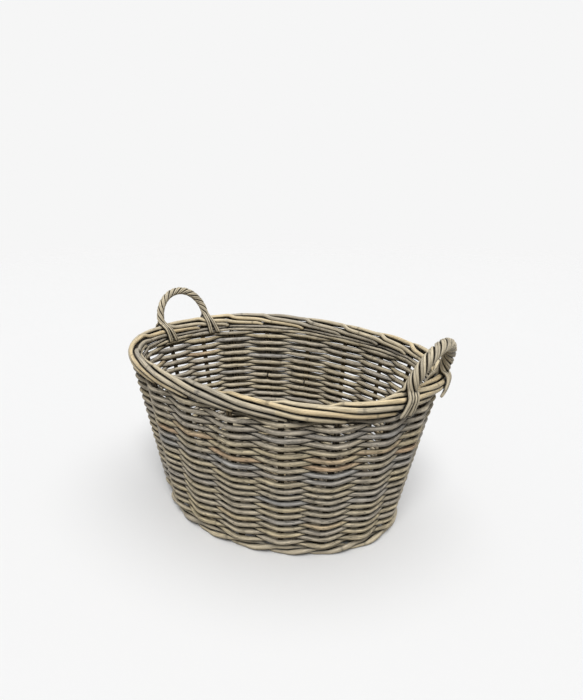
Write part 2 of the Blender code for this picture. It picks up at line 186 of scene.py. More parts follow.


# Whole rattan with its skin on: long dark vessels along the rod, lengthwise checks from drying, a ring at
# each joint of the cane, a soft, slightly waxy surface where it isn't weathered away, and painted shade in the
# creases.
def makeRattan(name, finish):
    material = bpy.data.materials.new(name)
    material.use_nodes = True
    tree = material.node_tree
    shader = tree.nodes["Principled BSDF"]
    rodUv = addNode(tree, "ShaderNodeUVMap", uv_map="rodUv")
    place = addNode(tree, "ShaderNodeTexCoord")
    marks = {title: addNode(tree, "ShaderNodeAttribute", attribute_name=title).outputs["Fac"]
             for title in ("tone", "knot", "creaseShade")}

    # Noise drawn out along the rod: the vessels, the checks and a slow drift of the tone.
    streaks = {}
    for title, detail, roughness in (("fibre", 3, 0.6), ("check", 1, 0.5), ("drift", 2, 0.5)):
        stretch = (1 / finish[title + "Length"], 1 / finish[title + "Width"], 1)
        drawn = addNode(tree, "ShaderNodeMapping", {"Scale": stretch}, {"Vector": rodUv.outputs["UV"]})
        streaks[title] = addNode(tree, "ShaderNodeTexNoise", {"Scale": 1, "Detail": detail, "Roughness": roughness},
                                 {"Vector": drawn.outputs["Vector"]}).outputs["Fac"]
    checkLine = addNode(tree, "ShaderNodeValToRGB", links={"Fac": streaks["check"]})
    setRamp(checkLine, ((0.0, "000000"), (0.455, "000000"), (0.475, "FFFFFF"), (0.495, "000000")))
    mottle = addNode(tree, "ShaderNodeTexNoise", {"Scale": 1 / finish["mottleSize"], "Detail": 4, "Roughness": 0.65},
                     {"Vector": place.outputs["Object"]})

    # What each of them does: the range of it that counts, and the values that its two ends give.
    effects = {}
    for title, source, counts, gives in (
            ("drift", streaks["drift"], (0.3, 0.7), (-finish["drift"], finish["drift"])),
            ("fibre", streaks["fibre"], (0.28, 0.72), (finish["fibreDark"], finish["fibreLight"])),
            ("mottle", mottle.outputs["Fac"], (0.3, 0.7), (1 - finish["mottle"], 1 + finish["mottle"])),
            ("check", checkLine.outputs["Color"], (0, 1), (1, finish["checkDark"])),
            ("knot", marks["knot"], (0, 1), (1, finish["knotDark"])),
            # The crease entry is painted shade: the colour darkens where other rods lie close, as the shade in a
            # crease.
            ("creaseShade", marks["creaseShade"], creases["closeness"], (1, finish["creaseShadeDark"])),
            ("rough", mottle.outputs["Fac"], (0.3, 0.7), finish["rough"])):
        limits = dict(zip(("From Min", "From Max", "To Min", "To Max"), counts + gives))
        effects[title] = addNode(tree, "ShaderNodeMapRange", limits, {"Value": source}).outputs["Result"]

    # The tone of each stretch of rod, drifting a little along it, and then shaded by all the others.
    tonePlace = addNode(tree, "ShaderNodeMath", operation="ADD", use_clamp=True,
                        links={0: marks["tone"], 1: effects["drift"]})
    colour = addNode(tree, "ShaderNodeValToRGB", links={"Fac": tonePlace.outputs["Value"]})
    setRamp(colour, finish["tones"])
    shade = effects["fibre"]
    for title in ("mottle", "check", "knot", "creaseShade"):
        shade = addNode(tree, "ShaderNodeMath", operation="MULTIPLY",
                        links={0: shade, 1: effects[title]}).outputs["Value"]
    skin = addNode(tree, "ShaderNodeHueSaturation", links={"Color": colour.outputs["Color"], "Value": shade})
    ridge = addNode(tree, "ShaderNodeMath", operation="SUBTRACT",
                    links={0: streaks["fibre"], 1: checkLine.outputs["Color"]})
    bump = addNode(tree, "ShaderNodeBump", {"Strength": finish["bump"], "Distance": finish["bumpDepth"]},
                   {"Height": ridge.outputs["Value"]})
    tree.links.new(skin.outputs["Color"], shader.inputs["Base Color"])
    tree.links.new(effects["rough"], shader.inputs["Roughness"])
    tree.links.new(bump.outputs["Normal"], shader.inputs["Normal"])
    shader.inputs["IOR"].default_value = 1.5
    shader.inputs["Specular IOR Level"].default_value = finish["gloss"]
    return material


# In each finish below, the crease value is how dark the painted shade in the creases makes the colour.
# Weathered weaving rods: grey where the light has bleached them, tan to orange-brown where the skin is left.
weaverRattan = makeRattan("weatheredWeaverRattan", {
    "tones": ((0.0, "B0ADA7"), (0.25, "BDB4A5"), (0.5, "C8BCA4"), (0.75, "D0C19F"), (1.0, "C9AE8E")),
    "fibreLength": 0.030, "fibreWidth": 0.0020, "fibreDark": 0.50, "fibreLight": 1.42,
    "checkLength": 0.040, "checkWidth": 0.0034, "checkDark": 0.25, "mottleSize": 0.010, "mottle": 0.20,
    "driftLength": 0.12, "driftWidth": 0.02, "drift": 0.16,
    "knotDark": 0.6, "creaseShadeDark": 0.03, "rough": (0.55, 0.8), "bump": 0.7, "bumpDepth": 0.0005, "gloss": 0.4,
})
# Stake rods: thinner and darker, with the skin worn off.
stakeRattan = makeRattan("darkStakeRattan", {
    "tones": ((0.0, "75695A"), (0.5, "8E8069"), (1.0, "A89472")),
    "fibreLength": 0.030, "fibreWidth": 0.0011, "fibreDark": 0.65, "fibreLight": 1.2,
    "checkLength": 0.045, "checkWidth": 0.0030, "checkDark": 0.5, "mottleSize": 0.016, "mottle": 0.18,
    "driftLength": 0.12, "driftWidth": 0.02, "drift": 0.2,
    "knotDark": 0.5, "creaseShadeDark": 0.30, "rough": (0.6, 0.85), "bump": 0.6, "bumpDepth": 0.0005, "gloss": 0.3,
})
# Base rods: the same cane painted darker, as painted shade for the shade that falls inside the basket over the base.
paintedShadeBaseRattan = makeRattan("shadedBaseRattan", {
    "tones": ((0.0, "6A6257"), (0.5, "7A7061"), (1.0, "8B806C")),
    "fibreLength": 0.030, "fibreWidth": 0.0020, "fibreDark": 0.60, "fibreLight": 1.30,
    "checkLength": 0.040, "checkWidth": 0.0034, "checkDark": 0.35, "mottleSize": 0.012, "mottle": 0.20,
    "driftLength": 0.12, "driftWidth": 0.02, "drift": 0.2,
    "knotDark": 0.6, "creaseShadeDark": 0.06, "rough": (0.55, 0.8), "bump": 0.7, "bumpDepth": 0.0005, "gloss": 0.4,
})
# Border and foot rods: thicker cane with pale, smooth skin.
borderRattan = makeRattan("paleBorderRattan", {
    "tones": ((0.0, "B4AB9A"), (0.35, "D0C3A9"), (0.7, "E2D2B0"), (1.0, "E6D0A6")),
    "fibreLength": 0.040, "fibreWidth": 0.0017, "fibreDark": 0.56, "fibreLight": 1.30,
    "checkLength": 0.070, "checkWidth": 0.0040, "checkDark": 0.55, "mottleSize": 0.022, "mottle": 0.12,
    "driftLength": 0.16, "driftWidth": 0.02, "drift": 0.22,
    "knotDark": 0.45, "creaseShadeDark": 0.03, "rough": (0.42, 0.7), "bump": 0.5, "bumpDepth": 0.0005, "gloss": 0.5,
})
# Handle strands: pale split-free cane, a little shinier where hands polish it.
handleRattan = makeRattan("paleHandleRattan", {
    "tones": ((0.0, "B5AB98"), (0.4, "D0C3A8"), (1.0, "E4D6B8")),
    "fibreLength": 0.034, "fibreWidth": 0.0015, "fibreDark": 0.56, "fibreLight": 1.28,
    "checkLength": 0.060, "checkWidth": 0.0035, "checkDark": 0.5, "mottleSize": 0.018, "mottle": 0.12,
    "driftLength": 0.10, "driftWidth": 0.02, "drift": 0.2,
    "knotDark": 0.5, "creaseShadeDark": 0.03, "rough": (0.4, 0.68), "bump": 0.5, "bumpDepth": 0.0004, "gloss": 0.5,
})
print("materials made")

# What all cane has in common. From joint to joint, and in one tone, it is these times its usual length long.
cane = {"unevenLength": 0.045, "firstJoint": 0.02, "jointVaries": (0.7, 1.3), "toneVaries": (0.6, 1.4),
        "seeds": 50, "weld": 0.00001}
rods = []
rodCores = []  # a point of the middle of a rod and the radius there


def resample(points, spacing):
    lengths = [0.0]
    for a, b in zip(points, points[1:]):
        lengths.append(lengths[-1] + math.dist(a, b))
    steps = max(2, round(lengths[-1] / spacing))
    marks = np.linspace(0, lengths[-1], steps + 1)
    table = np.array(points)
    return np.stack([np.interp(marks, lengths, table[:, axis]) for axis in range(3)], axis=1)


# Rounds the corners of a route over about the given reach and keeps its ends.
def soften(points, spacing, reach):
    route = resample(points, spacing)
    for turn in range(round(2 * (reach / spacing) ** 2)):
        route[1:-1] = route[1:-1] / 2 + (route[:-2] + route[2:]) / 4
    return route


# A rod is a curve with a round bevel whose radius follows the cane: joints, taper, blunt or pointed ends.
def makeRod(name, node, route, radius, material, look):
    rng = random.Random(name)
    steps = np.linalg.norm(np.diff(route, axis=0), axis=1)
    along = np.concatenate([[0], np.cumsum(steps)])
    total = along[-1]
    seed = rng.uniform(0, cane["seeds"])
    uneven = [noise.noise(Vector((seed, length / cane["unevenLength"], 0))) for length in along]
    radii = radius * (1 + look["uneven"] * np.array(uneven))
    knot = np.zeros(len(route))
    mark = rng.uniform(cane["firstJoint"], look["jointSpacing"])
    while mark < total:
        knot = np.maximum(knot, np.exp(-((along - mark) / look["jointWidth"]) ** 2))
        mark += look["jointSpacing"] * rng.uniform(*cane["jointVaries"])
    radii = radii * (1 + look["jointSwell"] * knot)
    for distance, (length, share) in ((along, look["startTip"]), (total - along, look["endTip"])):
        part = np.clip(distance / length, 0, 1)
        radii = radii * (share + (1 - share) * np.sqrt(1 - (1 - part) ** 2))
    tone = np.array(look["tone"](along, rng))
    rodCores.extend(zip(route.tolist(), radii.tolist()))

    bpy.ops.object.select_all(action="DESELECT")
    bpy.ops.curve.primitive_nurbs_path_add()
    rod = bpy.context.object
    rod.name = name
    curve = rod.data
    curve.splines.clear()
    spline = curve.splines.new("POLY")
    spline.points.add(len(route) - 1)
    spline.points.foreach_set("co", np.concatenate([route, np.ones((len(route), 1))], axis=1).ravel())
    spline.points.foreach_set("radius", radii)
    curve.dimensions = "3D"
    curve.twist_mode = "MINIMUM"
    curve.bevel_depth = 1.0  # the points carry the real radius
    curve.bevel_resolution = (look["sides"] - 4) // 2
    curve.use_fill_caps = True
    bpy.ops.object.convert(target="MESH")
    rod = bpy.context.object
    mesh = rod.data

    # Lengths along and round the rod in metres, and the tone and joints of the cane, for the materials.
    lastRing = len(route) - 1
    uvLayer = mesh.uv_layers[0]
    uvLayer.name = "rodUv"
    uv = np.empty(len(mesh.loops) * 2)
    uvLayer.data.foreach_get("uv", uv)
    uv = uv.reshape(-1, 2)
    uv[:, 0] = along[np.clip(np.rint(uv[:, 0] * lastRing).astype(int), 0, lastRing)] + seed
    uv[:, 1] = uv[:, 1] * 2 * math.pi * float(np.mean(radii))
    uvLayer.data.foreach_set("uv", uv.ravel())
    # The mesh starts with the vertices of the far cap and then the near one. After them comes ring on ring.
    sides = look["sides"]
    rings = np.clip((np.arange(len(mesh.vertices)) - 2 * sides) // sides, -2, lastRing)
    rings[rings == -2] = lastRing
    rings[rings == -1] = 0
    for title, values in (("tone", tone), ("knot", knot)):
        mesh.attributes.new(title, "FLOAT", "POINT").data.foreach_set("value", values[rings])
    mesh.materials.clear()
    mesh.materials.append(material)

    bpy.ops.object.mode_set(mode="EDIT")
    bpy.ops.mesh.select_all(action="SELECT")
    bpy.ops.mesh.remove_doubles(threshold=cane["weld"])
    bpy.ops.mesh.normals_make_consistent(inside=False)
    bpy.ops.object.mode_set(mode="OBJECT")
    bpy.ops.object.shade_smooth()
    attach(rod, "root")
    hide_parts(node)
    rods.append(rod)


# Stretches of cane with a tone each, of about the given length.
def stretches(tones, length):
    def toneAt(along, rng):
        marks, values = [0.0], [rng.choice(tones)]
        while marks[-1] < along[-1]:
            marks.append(marks[-1] + length * rng.uniform(*cane["toneVaries"]))
            values.append(rng.choice(tones))
        return [values[bisect.bisect_right(marks, place) - 1] for place in along]
    return toneAt


# The wall's rods. What is named for bays is counted in bays, the spaces from stake to stake.
wall = {
    "thick": 0.0043, "thin": 0.0036, "thinPower": 4,  # thinner where the rods cross between the stakes
    "leadBays": 2.3, "endThick": 0.3, "endOut": 0.35,  # how far the first and the last row run on, tapering off
    "strokePower": 0.9, "sag": 0.0020,  # the strokes outside bulge and hang a little
    "hiddenDrop": 0.0034, "dropFade": 0.028,  # how much lower the strokes on the side turned away lie
    "closedAt": 2.30, "closedReach": 0.52, "closedEdge": 1.6,  # where on the far wall they do, in radians round it
    "wave": 0.0010, "waveRound": 9, "waveHeight": 0.05, "jitter": 0.0007, "jitterBays": 1.3,
    "stepsPerBay": 32, "spacing": 0.0030, "soften": 0.0034,
    # How far the rows lie above even spacing on the near side and on the far side, over their height.
    "lift": ((0.028, -0.0010, -0.0018), (0.045, 0.0022, -0.001), (0.108, 0.0028, -0.003), (0.148, 0.0, -0.0026),
             (0.174, 0.0, -0.0007), (0.200, 0.0003, 0.0016), (0.227, 0.0015, 0.0043), (0.254, 0.0030, 0.0054)),
    # The tone of each row of the two rods from the foot up: 0 is blue-grey, 0.5 is grey-tan and 1 is orange-brown.
    "rowTones": ((0.62, 0.60), (0.55, 0.66), (0.35, 0.60), (0.72, 0.30), (0.40, 0.55), (0.42, 0.62), (0.36, 0.22),
                 (0.50, 0.38), (0.62, 0.45), (0.60, 0.55), (0.12, 0.20), (0.08, 0.48), (0.97, 0.50), (0.75, 0.80),
                 (0.60, 0.35), (0.45, 0.30), (0.22, 0.36), (0.40, 0.45)),
    # They hold in the first bays of each turn, the near ones. Further round the tone wanders about its middle.
    "nearBays": 8, "farTone": 0.45, "farVaries": 0.6, "farBays": 5, "wander": 0.22, "wanderBays": 2.3,
    "look": {"sides": 12, "uneven": 0.12, "jointSpacing": 0.34, "jointWidth": 0.0016, "jointSwell": 0.08,
             "startTip": (0.004, 0.6), "endTip": (0.004, 0.6)},
}
weaveBays = rowTotal * stakeTotal - weave["climbBays"]


# The share of a row's height that is free for it: the first and the last row taper off where the next one climbs.
def rowRoom(bay):
    return min(1, 1 + bay / weave["climbBays"], 1 - (bay - weaveBays) / weave["climbBays"])


def rowZ(bay):
    if bay < 0:
        return firstRowZ - rowPitch / 2 * (1 - rowRoom(bay))
    if bay > weaveBays:
        return firstRowZ + rowPitch * (rowTotal - 1) + rowPitch / 2 * (1 - rowRoom(bay))
    turn = math.floor(bay / stakeTotal)
    climbed = max(0, bay - turn * stakeTotal - (stakeTotal - weave["climbBays"])) / weave["climbBays"]
    return firstRowZ + rowPitch * (turn + climbed)


# Rods run straight from stake to stake, so between stakes they lie inside the oval.
def weavePlace(bay, z, out):
    stake = weave["climbEnd"] + bay
    here = wallPlace(shareAt(math.floor(stake)), z, 0)
    following = wallPlace(shareAt(math.floor(stake) + 1), z, 0)
    outward = outwardAt(shareAt(stake), z)
    part = stake - math.floor(stake)
    return (here[0] + (following[0] - here[0]) * part + outward[0] * out,
            here[1] + (following[1] - here[1]) * part + outward[1] * out, z)


# Two rods chase each other: each passes outside every second stake, half a row above or below the other.
def weaverRoute(bays, lag, seed):
    heights, near, far = zip(*wall["lift"])
    points = []
    for bay in bays:
        swing = -math.cos(math.pi * (bay - lag))
        swing = math.copysign(abs(swing) ** wall["strokePower"], swing)
        room = rowRoom(bay)
        out = swing * (stakeRadius + gap + wall["thick"] * (wall["endOut"] + (1 - wall["endOut"]) * room))
        angle = angleAt(shareAt(weave["climbEnd"] + bay))
        nearPart = (1 - math.sin(angle)) / 2
        z = rowZ(bay)
        z += nearPart * float(np.interp(z, heights, near)) + (1 - nearPart) * float(np.interp(z, heights, far))
        z += (1 if lag else -1) * rowPitch / 4 * room - wall["sag"] * max(0, swing)
        # The strokes on the side turned away lie lower, where they close the view between the others.
        aside = abs((angle - wall["closedAt"] + math.pi) % (2 * math.pi) - math.pi)
        farPart = min(1, max(0, wall["closedEdge"] - aside / wall["closedReach"]))
        drop = wall["hiddenDrop"] * min(1, max(0, (wallTopZ - z) / wall["dropFade"]))
        z -= drop * (nearPart * max(0, -swing) + farPart * max(0, swing))
        around = (wall["waveRound"] * math.cos(angle), wall["waveRound"] * math.sin(angle))
        z += wall["wave"] * room * noise.noise(Vector((*around, z / wall["waveHeight"])))
        z += wall["jitter"] * noise.noise(Vector((bay / wall["jitterBays"], seed, 8)))
        points.append(weavePlace(bay, z, out))
    return points


def makeWall():
    bands = weave["count"] // 2
    for band in range(bands):
        for lag, letter in ((0, "a"), (1, "b")):
            start, end = (2 * round((weaveBays - 1) / 2 * edge / bands) + lag for edge in (band, band + 1))
            start = start - wall["leadBays"] if band == 0 else start
            end = weaveBays + wall["leadBays"] - 1 + lag / 2 if band == bands - 1 else end
            bays = np.linspace(start, end, round((end - start) * wall["stepsPerBay"]) + 1)
            route = soften(weaverRoute(bays, lag, 10 * band + lag), wall["spacing"], wall["soften"])
            bays = np.linspace(start, end, len(route))
            room = np.array([rowRoom(bay) for bay in bays])
            crossing = np.abs(np.sin(math.pi * bays)) ** wall["thinPower"]
            radius = wall["thick"] + (wall["thin"] - wall["thick"]) * crossing
            radius = radius * (wall["endThick"] + (1 - wall["endThick"]) * room)

            def rowTone(along, rng, start=start, end=end, lag=lag):
                tones = []
                for bay in np.linspace(start, end, len(along)):
                    row = min(max(int(bay // stakeTotal), 0), rowTotal - 1)
                    near = min(1, max(0, min(bay % stakeTotal, wall["nearBays"] - bay % stakeTotal)))
                    drift = noise.noise(Vector((bay / wall["farBays"], 7 * lag, 2)))
                    far = min(1, max(0, wall["farTone"] + wall["farVaries"] * drift))
                    wander = noise.noise(Vector((bay / wall["wanderBays"], 7 * lag + row * 3.7, 1)))
                    tone = near * wall["rowTones"][row][lag] + (1 - near) * far + wall["wander"] * wander
                    tones.append(min(1, max(0, tone)))
                return tones

            makeRod(f"wallWeaver{band + 1}{letter}", f"wall_weaver_{band + 1}_{letter}",
                    route, radius, weaverRattan, {**wall["look"], "tone": rowTone})


# The last round lies in under the border's inner rods, over the ends of the rows.
topRound = {"rise": 0.0052, "sway": 0.0030, "out": -0.0045, "swing": 0.0022, "wobble": 0.0005, "wobbleBays": 1.1,
            "radius": 0.0031, "stepsPerBay": 24, "spacing": 0.0030, "soften": 0.003,
            "look": {**wall["look"], "tone": stretches((0.3, 0.45, 0.6), 0.3)}}


def makeTopRound():
    for lag, letter in ((0, "a"), (1, "b")):
        points = []
        for step in range(stakeTotal * topRound["stepsPerBay"]):
            bay = step / topRound["stepsPerBay"]
            swing = -math.cos(math.pi * (bay - lag))
            wobble = topRound["wobble"] * noise.noise(Vector((bay / topRound["wobbleBays"], lag, 5)))
            rise = topRound["rise"] + topRound["sway"] * (1 if lag else -1) + wobble
            points.append(weavePlace(bay, wallTopZ + rise, topRound["out"] + topRound["swing"] * swing))
        makeRod(f"wallTopRound{letter.upper()}", f"wall_weaver_{weave['count'] // 2}_{letter}",
                soften(points, topRound["spacing"], topRound["soften"]),
                topRound["radius"], weaverRattan, topRound["look"])


makeWall()
makeTopRound()
print("wall woven")

# The border's rods and, inside it, the two core rods.
borderCane = {
    # Places that a rod passes, as stakes on from its own and the part of the way round the section: it starts blunt
    # inside, comes over the top with a short bend at the third stake, and sinks down the outside to a point.
    "steps": ((1.10, 0.225), (1.22, 0.250), (1.9, 0.290), (2.2, 0.335), (2.92, 0.375), (3.06, 0.450), (3.5, 0.500),
              (3.9, 0.560), (4.3, 0.625), (4.9, 0.685), (5.3, 0.750), (5.8, 0.805), (6.12, 0.865)),
    "hump": 0.0022, "humpAt": 3.02, "humpBays": 0.16,  # how it rides over the rods it crosses
    "tuck": 0.0028, "startBays": 0.06, "endBays": 0.5, "startDrop": 0.003,  # how its two ends sink in
    "wobbleOut": 0.0012, "wobbleUp": 0.0016, "wobbleBays": 0.8,
    "radius": border["radius"] * 0.92,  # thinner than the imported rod, so that dark shows between rods
    "places": 260, "spacing": 0.0025, "soften": 0.0042,
    "look": {"sides": 16, "uneven": 0.10, "jointSpacing": 0.17, "jointWidth": 0.0020, "jointSwell": 0.08,
             "startTip": (0.003, 0.8), "endTip": (0.055, 0.35),
             "tone": stretches((0.15, 0.45, 0.6, 0.75, 0.9), 0.35)},
}
borderCore = {
    "places": 400, "spacing": 0.004,
    "look": {"sides": 12, "uneven": 0.10, "jointSpacing": 0.2, "jointWidth": 0.0020, "jointSwell": 0.05,
             "startTip": (0.004, 0.7), "endTip": (0.004, 0.7), "tone": stretches((0.1, 0.3), 0.5)},
}


# The section of the border is a round-ended slot: from its bottom up the inside, over the top and down the outside.
def borderSection(part):
    quarter = sectionLength / 4
    length = part * sectionLength
    out = -border["halfWidth"] if length < 2 * quarter else border["halfWidth"]
    length = min(length, sectionLength - length)
    cap = math.pi * border["halfWidth"] / 2
    if cap <= length <= 2 * quarter - cap:
        return out, length - quarter
    end = -1 if length < cap else 1
    turn = min(length, 2 * quarter - length) / border["halfWidth"]
    return out * math.sin(turn), end * (capHeight + border["halfWidth"] * math.cos(turn))


def borderPlace(stake, bay, seed):
    out, rise = borderSection(float(np.interp(bay, *zip(*borderCane["steps"]))))
    # Two plain noises, because noise_vector gives other numbers on each run.
    wobble = [noise.noise(Vector((bay / borderCane["wobbleBays"], seed + 0.4, level))) for level in (4.3, 14.7)]
    startPart = max(0, 1 - (bay - borderCane["steps"][0][0]) / borderCane["startBays"])
    tuck = borderCane["tuck"] * max(startPart, 1 - (borderCane["steps"][-1][0] - bay) / borderCane["endBays"])
    rise += borderCane["hump"] * math.exp(-((bay - borderCane["humpAt"]) / borderCane["humpBays"]) ** 2)
    rise += borderCane["wobbleUp"] * wobble[1] - borderCane["startDrop"] * startPart
    return wallPlace(shareAt(stake + bay), borderCentreZ + rise,
                     out + borderCane["wobbleOut"] * wobble[0] - math.copysign(tuck, out))


def makeBorder():
    for stake in range(stakeTotal):
        bays = np.linspace(borderCane["steps"][0][0], borderCane["steps"][-1][0], borderCane["places"])
        points = [borderPlace(stake, bay, 3 * stake) for bay in bays]
        makeRod(f"borderCane{stake + 1:02d}", f"border_rod_{stake + 1:02d}",
                soften(points, borderCane["spacing"], borderCane["soften"]), borderCane["radius"],
                borderRattan, borderCane["look"])
    for letter, side in (("a", 1), ("b", -1)):
        z = borderCentreZ + side * (coreRadius + gap)
        shares = [shareAt(stakeTotal * step / borderCore["places"]) for step in range(borderCore["places"])]
        points = [wallPlace(share, z, 0) for share in shares]
        makeRod(f"borderCore{letter.upper()}", f"border_core_{letter}",
                resample(points, borderCore["spacing"]), coreRadius, stakeRattan, borderCore["look"])


makeBorder()
print("border laid")

# The two rods twisted together round the bottom edge.
footCane = {
    "spacing": 0.0025, "soften": 0.006,
    "lowest": foot["radius"] * 1.09,  # room for the uneven cane above the floor
    "look": {"sides": 16, "uneven": 0.08, "jointSpacing": 0.24, "jointWidth": 0.0022, "jointSwell": 0.06,
             "startTip": (0.003, 0.8), "endTip": (0.003, 0.8), "tone": stretches((0.2, 0.4, 0.6), 0.4)},
}


def makeFoot():
    for letter, firstDown in (("a", 0), ("b", 1)):
        points = []
        for stake in range(stakeTotal):
            sign = -1 if (stake + firstDown) % 2 == 0 else 1
            for step in (-foot["flat"], 0, foot["flat"]):
                points.append(wallPlace(shareAt(stake + step), footCentreZ + sign * footTwist, 0))
            rise = sign * footTwist * math.sin(math.radians(foot["turn"]))
            for step, z in ((1, footCentreZ + rise), (2, footCentreZ - rise)):
                points.append(wallPlace(shareAt(stake + step / 3), z, -sign * footSpread))
        points.append(points[0])
        route = soften(points, footCane["spacing"], footCane["soften"])[:-1]
        route[:, 2] = np.maximum(route[:, 2], footCane["lowest"])
        makeRod(f"footCane{letter.upper()}", f"foot_rod_{letter}",
                route, foot["radius"], borderRattan, footCane["look"])


makeFoot()
print("foot twisted")

# The stakes cross in a grid in the middle of the base and fan out from it to the wall, each a pair of rods.
frameStakes = {
    "long": ((17, 10), (0, 9), (1, 8)), "cross": ((2, 16), (3, 15), (4, 14), (5, 13), (6, 12), (7, 11)),
    "crossSpacing": 0.026, "longSpacing": 0.013, "gridHalfLength": 0.085, "gridHalfWidth": 0.024, "bend": 0.005,
    "spacing": 0.003, "soften": 0.0025,
    "look": {"sides": 10, "uneven": 0.10, "jointSpacing": 0.21, "jointWidth": 0.0016, "jointSwell": 0.10,
             "startTip": (0.002, 0.7), "endTip": (0.002, 0.7), "tone": stretches((0.2, 0.45, 0.7, 0.9), 1.2)},
}
layer = stakeRadius + gap / 2


def sideways(before, after):
    run = math.dist(before, after)
    return (before[1] - after[1]) / run, (after[0] - before[0]) / run


# The shift of a corner whose two sides are moved sideways by the same distance.
def mitre(first, second, distance):
    scale = distance / (1 + first[0] * second[0] + first[1] * second[1])
    return (first[0] + second[0]) * scale, (first[1] + second[1]) * scale


def gridPlace(stake):
    for place, ends in enumerate(frameStakes["cross"]):
        if stake in ends:
            x = ((len(frameStakes["cross"]) - 1) / 2 - place) * frameStakes["crossSpacing"]
            y = frameStakes["gridHalfWidth"] if stake == ends[0] else -frameStakes["gridHalfWidth"]
            return (x + middleShift, y), -layer
    for place, ends in enumerate(frameStakes["long"]):
        if stake in ends:
            y = (place - (len(frameStakes["long"]) - 1) / 2) * frameStakes["longSpacing"]
            x = frameStakes["gridHalfLength"] if stake == ends[0] else -frameStakes["gridHalfLength"]
            return (x + middleShift, y), layer


# Half a stake, from the border's core down the wall and in over the base to the grid.
def stakeHalf(stake, offset):
    share = basket["stakes"][stake]
    bend = frameStakes["bend"]
    top = wallPlace(share, borderCentreZ - 2 * (coreRadius + gap), 0)
    turn = wallPlace(share, baseZ + bend, 0)
    kink = wallPlace(share, baseZ + bend / 4, -bend / 4)
    inner = wallPlace(share, baseZ, -bend)
    grid, drop = gridPlace(stake)
    fanSide = sideways(inner[:2], grid)
    points = []
    for point in (top, turn, kink, inner):
        outward = outwardAt(share, point[2])
        side = (outward[1], -outward[0])
        shift = mitre(side, fanSide if point == inner else side, offset)
        points.append((point[0] + shift[0], point[1] + shift[1], point[2]))
    return points, grid, drop, fanSide


def makeStakes():
    for kind in ("long", "cross"):
        for number, ends in enumerate(frameStakes[kind], 1):
            for letter, offset in (("a", layer), ("b", -layer)):
                first, firstGrid, drop, firstSide = stakeHalf(ends[0], offset)
                second, secondGrid, drop, secondSide = stakeHalf(ends[1], -offset)
                middle = sideways(firstGrid, secondGrid)
                there = mitre(firstSide, middle, offset)
                here = mitre(middle, (-secondSide[0], -secondSide[1]), offset)
                points = first + [(firstGrid[0] + there[0], firstGrid[1] + there[1], baseZ + drop),
                                  (secondGrid[0] + here[0], secondGrid[1] + here[1], baseZ + drop)] + second[::-1]
                route = soften(points, frameStakes["spacing"], frameStakes["soften"])
                makeRod(f"{kind}Stake{number}{letter}", f"{kind}_stake_{number}_{letter}",
                        route, stakeRadius, stakeRattan, frameStakes["look"])


makeStakes()
print("stakes set")

# The two rods woven round and round through the stakes of the base.
base = {
    "radius": 0.0034, "thicken": 1.2, "slack": 0.0030, "pitch": 0.0100, "start": 0.009, "edge": 0.007,
    "spacing": 0.003, "soften": 0.004,
    "look": {"sides": 12, "uneven": 0.10, "jointSpacing": 0.20, "jointWidth": 0.0018, "jointSwell": 0.10,
             "startTip": (0.003, 0.7), "endTip": (0.003, 0.7), "tone": stretches((0.2, 0.4, 0.55, 0.7), 1.0)},
}
baseRise = stakeRadius + base["radius"] + base["slack"]
baseHalfFan = footHalf[1] - frameStakes["gridHalfWidth"] - base["start"] - base["edge"]
baseRounds = int(baseHalfFan / base["pitch"])


def basePlace(stake, along, over):
    grid, drop = gridPlace(stake % stakeTotal)
    edge = wallPlace(basket["stakes"][stake % stakeTotal], baseZ, -frameStakes["bend"])
    length = math.dist(grid, edge[:2])
    part = (base["start"] + (length - base["start"] - base["edge"]) * along) / length
    z = baseZ + drop * (1 - part) + (baseRise if over else -baseRise)
    return grid[0] + (edge[0] - grid[0]) * part, grid[1] + (edge[1] - grid[1]) * part, z


def makeBase():
    last = stakeTotal * baseRounds
    for letter, lag in (("a", 0), ("b", 1)):
        points = [basePlace(step, (2 * step + lag * stakeTotal) / (last + stakeTotal), (step + lag) % 2 == 0)
                  for step in range((last + (1 - lag) * stakeTotal) // 2 + 1)]
        makeRod(f"baseWeaver{letter.upper()}", f"base_weaver_{letter}",
                soften(points, base["spacing"], base["soften"]), base["radius"] * base["thicken"],
                paintedShadeBaseRattan, base["look"])


makeBase()
print("base woven")

# The handles are ropes of strands. A strand is two rods side by side, and all are laid round a thicker hoop.
handle = {
    "strands": 4, "turns": 3, "lift": 0.0045, "wrapGap": 0.0010, "spread": 0.008, "slant": 0.011,
    "twin": 0.82, "tailTwin": 1.05,  # from a strand's middle to its rods in the rope and in its ends, in rod radii
    "wrapTurns": (60, 35, 10), "tipIn": 0.0015,  # how an end bends down over the border, in degrees, and closes on it
    "stepsPerTurn": 32, "spacing": 0.0016, "hoopSpacing": 0.003, "soften": 0.003,
    "look": {"sides": 12, "uneven": 0.08, "jointSpacing": 0.16, "jointWidth": 0.0014, "jointSwell": 0.06,
             "startTip": (0.005, 0.5), "endTip": (0.005, 0.5), "tone": stretches((0.3, 0.5, 0.7, 0.9), 0.4)},
}


# The end of a strand: down over one side of the border, spread out from the others.
def handleTail(bow, leg, outSign, sideSign, startSide, twin):
    wrapRadius = borderHalfWidth + bow["rod"] + handle["wrapGap"]
    drops = [(wrapRadius * math.cos(math.radians(turn)), capHeight + wrapRadius * math.sin(math.radians(turn)))
             for turn in handle["wrapTurns"]]
    drops += [(wrapRadius, -border["halfHeight"] / 2), (wrapRadius - handle["tipIn"], -border["halfHeight"])]
    top = borderHalfHeight + handle["lift"]
    tail = []
    for out, rise in drops:
        part = (top - rise) / (top + border["halfHeight"])
        side = sideSign * (startSide + (handle["spread"] - startSide) * part) + twin * bow["rod"] * handle["tailTwin"]
        share = bow["share"] + (leg + side - handle["slant"] * part) / gaugePerimeter
        tail.append(wallPlace(share, borderCentreZ + rise, outSign * out))
    return tail


